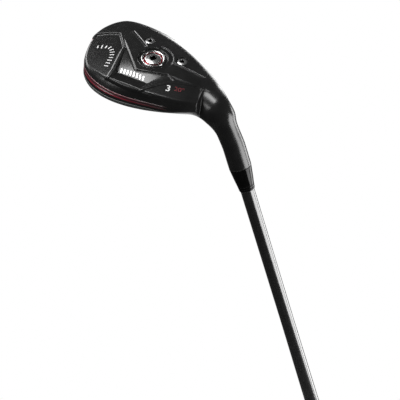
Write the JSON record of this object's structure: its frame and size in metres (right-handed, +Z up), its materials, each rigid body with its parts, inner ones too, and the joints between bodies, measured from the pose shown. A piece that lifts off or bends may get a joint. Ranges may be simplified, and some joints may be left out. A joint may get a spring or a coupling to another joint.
{
  "type": "hybrid golf club",
  "caption": "Right-handed hybrid golf club with a hollow steel head, removable sole weight, red skirt stripe, tapered black shaft and rubber grip.",
  "frame": {"origin": "centre of the vent hole on the end face of the grip's cap, at the butt of the club", "axes": "+Z up the shaft axis from the butt to the head, so the club stands head up; +Y the way the face looks, toward the target; +X the heel side, away from the toe"},
  "size_m": [0.1047, 0.0688, 1.0664],
  "materials": {
    "head_cast": "satin black physical vapour finish on cast steel",
    "face_steel": "satin dark grey forged steel",
    "crown_paint": "gloss black paint",
    "bezel_steel": "bright turned ring",
    "ring_red": "dark red anodised",
    "screw_steel": "satin silver plated",
    "stripe_red": "dark red enamel fill",
    "ferrule_black": "polished black",
    "shaft_lacquer": "gloss black lacquer on carbon fibre",
    "tip_brass": "turned brass",
    "tape_paper": "double-sided grip tape",
    "grip_rubber": "matt moulded rubber"
  },
  "bodies": {
    "club": {"head_body": "head_cast", "face_cup": "face_steel", "crown": "crown_paint", "port_bezel": "bezel_steel", "sole_screws": "screw_steel", "skirt_stripe": "stripe_red", "ferrule": "ferrule_black", "shaft": "shaft_lacquer", "tip_weight": "tip_brass", "grip_tape": "tape_paper", "grip": "grip_rubber", "grip_cap": "grip_rubber"},
    "weight_carrier": {"weight_ring": "ring_red"},
    "weight": {"weight_screw": "screw_steel"}
  },
  "joints": [
    {"name": "weight_out", "type": "slide", "parent": "club", "child": "weight_carrier", "axis": [0.5299, 0, 0.848], "range_m": [0, 0.0081]},
    {"name": "weight_turn", "type": "hinge", "parent": "weight_carrier", "child": "weight", "pos_m": [-0.03938, -0.014, 1.04578], "axis": [0.5299, 0, 0.848], "range_deg": [0, 2880]}
  ],
  "couplings": [
    {"joint": "weight_out", "follows": "weight_turn", "m_per_rad": 0.00015915}
  ]
}
